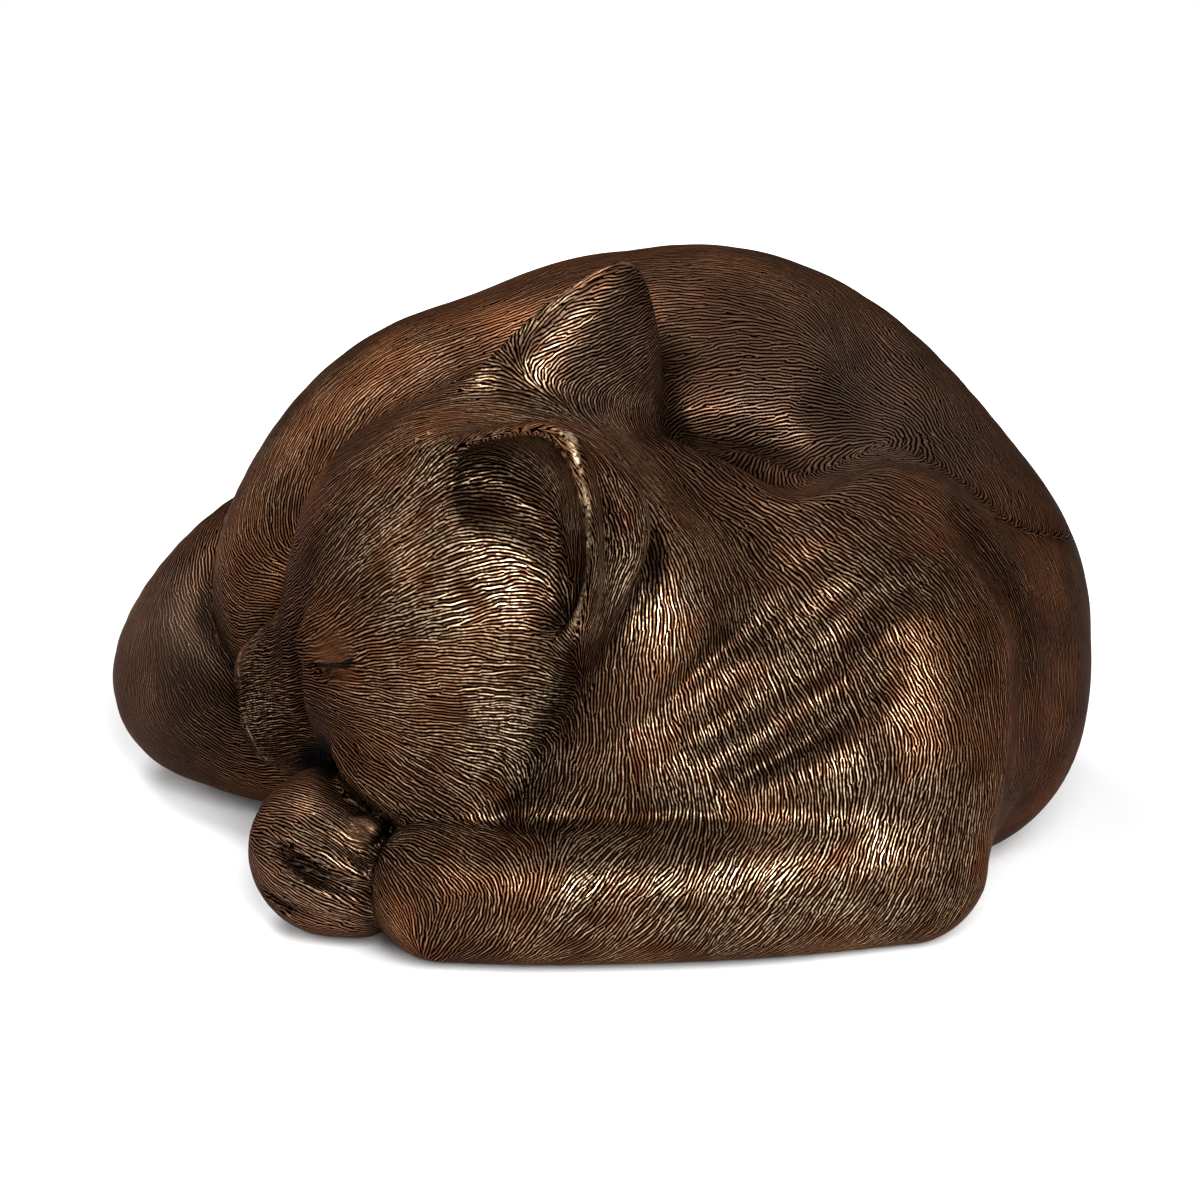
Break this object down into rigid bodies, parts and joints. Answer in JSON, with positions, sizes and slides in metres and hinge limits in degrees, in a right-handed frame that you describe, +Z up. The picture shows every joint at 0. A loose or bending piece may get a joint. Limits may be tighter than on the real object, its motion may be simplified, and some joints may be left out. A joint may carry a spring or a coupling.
{
  "type": "cat garden statue",
  "caption": "Curled sleeping cat garden statue in dark bronze-finished casting resin, head resting on its forelegs, tail wrapped round, flat closed underside on rubber feet.",
  "frame": {"origin": "on the ground, under the middle of the statue's box", "axes": "+Z up, +X along the statue's length towards the shoulder, so that the cat faces -X and its left side faces -Y"},
  "size_m": [0.2872, 0.2348, 0.1726],
  "materials": {
    "bronze_finish": "casting resin with a dark brown bronze finish, engraved fur dry-brushed in copper and gold, satin",
    "plate_resin": "dark brown resin, matt",
    "rubber": "black rubber, matt",
    "steel": "zinc-plated steel"
  },
  "bodies": {
    "root": {"body_shell": "bronze_finish", "head": "bronze_finish", "left_ear": "bronze_finish", "right_ear": "bronze_finish", "left_foreleg": "bronze_finish", "right_forepaw": "bronze_finish", "tail": "bronze_finish", "base_plate": "plate_resin", "filler_plug": "rubber", "rubber_foot_1": "rubber", "rubber_foot_2": "rubber", "rubber_foot_3": "rubber", "rubber_foot_4": "rubber", "base_screw_1": "steel", "base_screw_2": "steel", "base_screw_3": "steel", "base_screw_4": "steel", "neck_dowel": "steel", "foreleg_dowel": "steel", "paw_dowel": "steel", "tail_dowel": "steel"}
  },
  "joints": []
}
